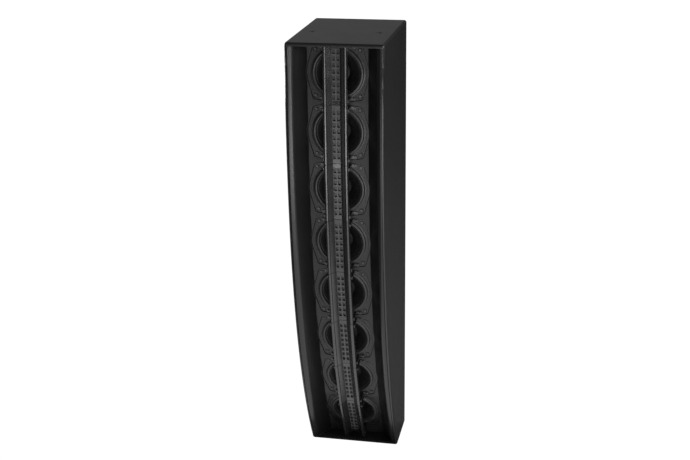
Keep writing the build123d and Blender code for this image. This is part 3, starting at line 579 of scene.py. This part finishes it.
def wadding_pad(number, top, bottom):
    """Sheet of loose fibre flat against the back: torn edges, a lumpy face and staple dimples."""
    columns = WADDING_COLUMNS
    length = top - bottom
    rows = max(12, round(length / WADDING_ROW))
    end_sharpness = 8 if length < 0.1 else 30
    staples = [
        (x, bottom + length * share) for x in (-STAPLE_SIDE, STAPLE_SIDE) for share in STAPLE_SHARES
    ]
    vertices, faces = [], []
    for side in (0, 1):  # the back, then the face
        for i in range(rows + 1):
            for j in range(columns + 1):
                u, v = 2 * j / columns - 1, 2 * i / rows - 1
                z = (top + bottom) / 2 + v * length / 2 * 0.985
                x = u * WADDING_HALF * 0.975
                ragged = noise.fractal(Vector((x * TORN_LUMPS, side, z * TORN_LUMPS)), 0.8, 2.0, 4)
                edge = (1 - u**8) * (1 - v**end_sharpness)
                dimple = sum(
                    math.exp(-((x - a) ** 2 + (z - b) ** 2) / STAPLE_SPREAD) for a, b in staples
                )
                loft = WADDING_LOFT * (0.22 + 0.78 * max(edge, 0) ** 0.35) * (0.86 + 0.12 * ragged)
                loft *= 1 - 0.55 * min(dimple, 1)
                pull = 1 + 0.012 * ragged
                depth = WADDING_BACK if side == 0 else min(loft, WADDING_LOFT + 0.001)
                vertices.append((x * pull, INNER_BACK - depth, z))
    layer = (rows + 1) * (columns + 1)
    for i in range(rows):
        for j in range(columns):
            a = i * (columns + 1) + j
            quad = (a, a + 1, a + columns + 2, a + columns + 1)
            faces.append(quad)
            faces.append(tuple(layer + n for n in quad[::-1]))
    rim = sheet_rim(rows, columns)
    for a, b in zip(rim, rim[1:] + rim[:1]):
        faces.append((b, a, layer + a, layer + b))
    piece = new_object(f"wadding_{number}", vertices, faces, "wadding", soft_edge=70.0)
    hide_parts("damping_wadding")


for number, (top, bottom) in enumerate(WADDING_STRIPS, 1):
    wadding_pad(number, top, bottom)


# ---------------------------------------------------------------- crossover and sockets

BOARD_FACE = 0.2004  # front of the crossover board
BOARD_HEIGHT = -0.700
# Places on the board are (across, up) from its middle, and all these sizes are in millimetres.
INDUCTORS = [  # place, then radius, bore and height
    (60, 20, 26, 10, 24),
    (-5, 25, 22, 9, 20),
    (-62, 18, 26, 10, 24),
]
INDUCTOR_TURNS = 9  # wire turns that show on the outer layer
CHEEK = 1.8
CAPACITORS = [(70, -35), (46, -35), (22, -35)]
RESISTORS = [(-20, -30), (-20, -46), (-62, -38)]
RESISTOR_HALF_LENGTH = 17
RESISTOR_HALF_WIDTH = 5.5


def on_board(x, z):
    """Frame on the face of the crossover board: Z points away from the board, into the cabinet."""
    turned = Matrix(((1, 0, 0), (0, 0, -1), (0, 1, 0))).to_4x4()
    return Matrix.Translation((x * MM, BOARD_FACE, BOARD_HEIGHT + z * MM)) @ turned


def inductor(number, x, z, radius, bore, height):
    """Air coil: wire wound in layers between two bobbin cheeks."""
    wire = (height - 4) / INDUCTOR_TURNS
    outline = [(bore + 1, 2)]
    for n in range(INDUCTOR_TURNS):
        centre = (radius - 1.2 - wire / 2, 2 + wire * (n + 0.5))
        outline += arc_points(centre, wire / 2, -80, 80, 7)
    outline.append((bore + 1, height - 2))
    place = on_board(x, z)
    coil = lathe(f"inductor_coil_{number}", outline, place, "components", steps=72, soft_edge=50)
    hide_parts("crossover_parts")
    cheeks = [(bore, 0), (radius, 0), (radius, CHEEK), (bore + 1, CHEEK)]
    cheeks += [(bore + 1, height - CHEEK), (radius, height - CHEEK)]
    cheeks += [(radius, height), (bore, height)]
    bobbin = lathe(f"inductor_bobbin_{number}", cheeks, place, "socket_plastic", steps=72)
    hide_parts("crossover_parts")


def capacitor(number, x, z):
    """Upright film capacitor: shrunk sleeve with a rolled top edge."""
    outline = [(0.01, 0), (8.4, 0), (8.9, 0.5), (8.9, 3), (8.5, 3.6), (8.9, 4.2), (8.9, 28.4)]
    outline += arc_points((7.4, 28.4), 1.5, 10, 90, 6) + [(6.9, 29.4), (0.01, 29.4)]
    can = lathe(f"capacitor_{number}", outline, on_board(x, z), "cable_jacket", steps=48)
    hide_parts("crossover_parts")


for number, spot in enumerate(INDUCTORS, 1):
    inductor(number, *spot)
for number, spot in enumerate(CAPACITORS, 1):
    capacitor(number, *spot)
for number, (x, z) in enumerate(RESISTORS, 1):
    left, right = (x - RESISTOR_HALF_LENGTH) * MM, (x + RESISTOR_HALF_LENGTH) * MM
    low = BOARD_HEIGHT + (z - RESISTOR_HALF_WIDTH) * MM
    high = BOARD_HEIGHT + (z + RESISTOR_HALF_WIDTH) * MM
    corners = (left, BOARD_FACE - 0.0108, low), (right, BOARD_FACE - 0.0002, high)
    resistor = box_mesh(f"resistor_{number}", *corners, 0.0009, "ceramic")
    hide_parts("crossover_parts")

BACK_FACE = 0.226
SOCKET_HEIGHT = -1.000
SOCKET_SIDES = (-0.030, 0.030)
SOCKET_MOUTH = 11.4  # radii in millimetres
SOCKET_POST = 6.6


def block_in_mouth(mouth, angle, radii, half_width, depths):
    """Corners, in metres, of a block at this angle round the mouth; sizes are in millimetres."""
    turn = mouth @ Matrix.Rotation(math.radians(angle), 4, "Z")
    sides = (-half_width, half_width)
    return [turn @ (Vector((r, w, depth)) * MM) for r in radii for w in sides for depth in depths]


def socket_piece(name, blocks, material_slot, rounding):
    """One piece of several blocks, each given as its eight corners."""
    vertices = [corner for block in blocks for corner in block]
    faces = [tuple(8 * n + i for i in side) for n in range(len(blocks)) for side in BLOCK_SIDES]
    round_edges(new_object(name, vertices, faces, material_slot), rounding)


def socket_fittings(number, x):
    """Four contact blades against the centre post and two key ribs in a speaker socket's mouth."""
    mouth = Matrix.Translation((x, BACK_FACE, SOCKET_HEIGHT))
    mouth = mouth @ Matrix.Rotation(math.radians(-90), 4, "X")
    blade_radii = (SOCKET_POST - 0.4, SOCKET_POST + 0.5)
    blades = [
        block_in_mouth(mouth, angle, blade_radii, 1.6, (-20, -5)) for angle in (45, 135, 225, 315)
    ]
    socket_piece(f"socket_contacts_{number}", blades, "plated_steel", 0.0002)
    rib_radii = (SOCKET_MOUTH - 1.5, SOCKET_MOUTH + 0.6)
    ribs = [
        block_in_mouth(mouth, 90, rib_radii, 2.2, (-18, -1.0)),
        block_in_mouth(mouth, 270, rib_radii, 1.4, (-18, -1.0)),
    ]
    socket_piece(f"socket_keys_{number}", ribs, "socket_plastic", 0.0004)


for number, x in enumerate(SOCKET_SIDES, 1):
    socket_fittings(number, x)


# ---------------------------------------------------------------- studio

FLOOR_HALF = 30.0
FLOOR_GREY = 0.1
WHITE = 1.05  # just past pure white in the picture


def white_to_camera(tree, dim, white, output):
    """Shows the camera the white shader, and everything else the dim one."""
    path = tree.nodes.new("ShaderNodeLightPath")
    mix = tree.nodes.new("ShaderNodeMixShader")
    tree.links.new(path.outputs["Is Camera Ray"], mix.inputs[0])
    tree.links.new(dim, mix.inputs[1])
    tree.links.new(white, mix.inputs[2])
    tree.links.new(mix.outputs["Shader"], tree.nodes[output].inputs["Surface"])


def backdrop_floor():
    """Plain pale floor: pure white to the camera, a dim grey in what the object reflects."""
    level = CAD_BOX[0][2] - 0.001
    mesh = bpy.data.meshes.new("floor")
    around = ((-1, -1), (1, -1), (1, 1), (-1, 1))
    corners = [(x * FLOOR_HALF, y * FLOOR_HALF, level) for x, y in around]
    mesh.from_pydata(corners, [], [(0, 1, 2, 3)])
    floor = bpy.data.objects.new("floor", mesh)
    bpy.context.scene.collection.objects.link(floor)
    material = bpy.data.materials.new("floor_paper")
    material.use_nodes = True
    tree = material.node_tree
    paper = tree.nodes["Principled BSDF"]
    paper.inputs["Base Color"].default_value = (FLOOR_GREY, FLOOR_GREY, FLOOR_GREY, 1)
    glow = tree.nodes.new("ShaderNodeEmission")
    glow.inputs["Strength"].default_value = WHITE
    white_to_camera(tree, paper.outputs["BSDF"], glow.outputs["Emission"], "Material Output")
    mesh.materials.append(material)


def studio_air(strength):
    """White room: white to the camera, and a soft even light from all round."""
    world = bpy.data.worlds.new("studio")
    bpy.context.scene.world = world
    world.use_nodes = True
    tree = world.node_tree
    room = tree.nodes["Background"]
    room.inputs["Color"].default_value = (1, 1, 1, 1)
    room.inputs["Strength"].default_value = strength
    white = tree.nodes.new("ShaderNodeBackground")
    white.inputs["Strength"].default_value = WHITE
    white_to_camera(tree, room.outputs["Background"], white.outputs["Background"], "World Output")


def area_light(name, width, height, power):
    """Rectangular area light that the camera doesn't see."""
    light = bpy.data.lights.new(name, "AREA")
    light.shape = "RECTANGLE"
    light.size = width
    light.size_y = height
    light.energy = power
    lamp = bpy.data.objects.new(name, light)
    bpy.context.scene.collection.objects.link(lamp)
    lamp.visible_camera = False
    return lamp


def softbox(name, azimuth, elevation, distance, aim_height, width, height, power):
    """Area light at this azimuth (0 in front of the object, 90 to its right) and elevation."""
    around, above = math.radians(azimuth), math.radians(elevation)
    direction = Vector(
        (math.sin(around) * math.cos(above), -math.cos(around) * math.cos(above), math.sin(above))
    )
    lamp = area_light(name, width, height, power)
    lamp.location = Vector((0, 0, aim_height)) + direction * distance
    lamp.rotation_euler = (-direction).to_track_quat("-Z", "Y").to_euler()


def floor_glow(name, left, right, front, near, power):
    """Bright paper on the floor, facing up, which the front and the sides mirror."""
    lamp = area_light(name, right - left, near - front, power)
    lamp.location = ((left + right) / 2, (front + near) / 2, CAD_BOX[0][2] + 0.004)
    lamp.rotation_euler = (math.pi, 0, 0)


FLOOR_GLOWS = [  # name, then left, right, front and near edges, then watts
    ("floor_far", -0.7, 2.0, -4.4, -2.3, 88),
    ("floor_near", -0.5, 1.3, -2.3, 0.0, 13),
    ("floor_right", 1.3, 4.5, -1.3, 1.1, 5),
]
SOFTBOXES = [  # name, azimuth, elevation, distance, aim height, width, height, watts
    ("key_front", 15, 2, 2.5, -0.55, 1.1, 1.1, 8),
    ("key_right", 40, -12, 2.5, -0.30, 0.5, 1.0, 12),
    ("key_side", 62, 20, 2.5, -0.35, 1.1, 1.1, 42),
    ("top_mirror", 192, 20, 2.5, -0.1, 1.1, 1.1, 0.65),
    ("side_mirror", 165, -20, 2.5, -0.1, 1.1, 1.1, 0.04),
    ("fill_back_left", 235, 14, 2.7, -0.5, 2.0, 1.6, 120),
    ("fill_back_right", 125, 35, 2.5, -0.3, 1.1, 1.1, 8),
    ("fill_left", -80, 25, 2.5, -0.5, 1.1, 1.1, 10),
]
AIR = 0.06
CAMERA_PLACE = Vector((0.676, -3.337, 0.623))
CAMERA_YAW = math.radians(11.61)  # to the right of the front
CAMERA_PITCH = math.radians(19.52)  # looking down
CAMERA_ROLL = math.radians(-0.73)
LENS = 64.03  # millimetres, as is the sensor's width
SENSOR = 36.0


def add_camera():
    """Camera at the measured place; back, right and up are its own axes."""
    back = Vector(
        (
            math.sin(CAMERA_YAW) * math.cos(CAMERA_PITCH),
            -math.cos(CAMERA_YAW) * math.cos(CAMERA_PITCH),
            math.sin(CAMERA_PITCH),
        )
    )
    level = (-back).cross(Vector((0, 0, 1))).normalized()
    upright = level.cross(-back)
    right = level * math.cos(CAMERA_ROLL) + upright * math.sin(CAMERA_ROLL)
    up = upright * math.cos(CAMERA_ROLL) - level * math.sin(CAMERA_ROLL)
    data = bpy.data.cameras.new("camera")
    data.lens = LENS
    data.sensor_width = SENSOR
    camera = bpy.data.objects.new("camera", data)
    bpy.context.scene.collection.objects.link(camera)
    turned = Matrix((right, up, back)).transposed().to_4x4()
    camera.matrix_world = Matrix.Translation(CAMERA_PLACE) @ turned
    bpy.context.scene.camera = camera


backdrop_floor()
studio_air(AIR)
for glow in FLOOR_GLOWS:
    floor_glow(*glow)
for box in SOFTBOXES:
    softbox(*box)
add_camera()
bpy.context.scene.view_settings.view_transform = "Standard"
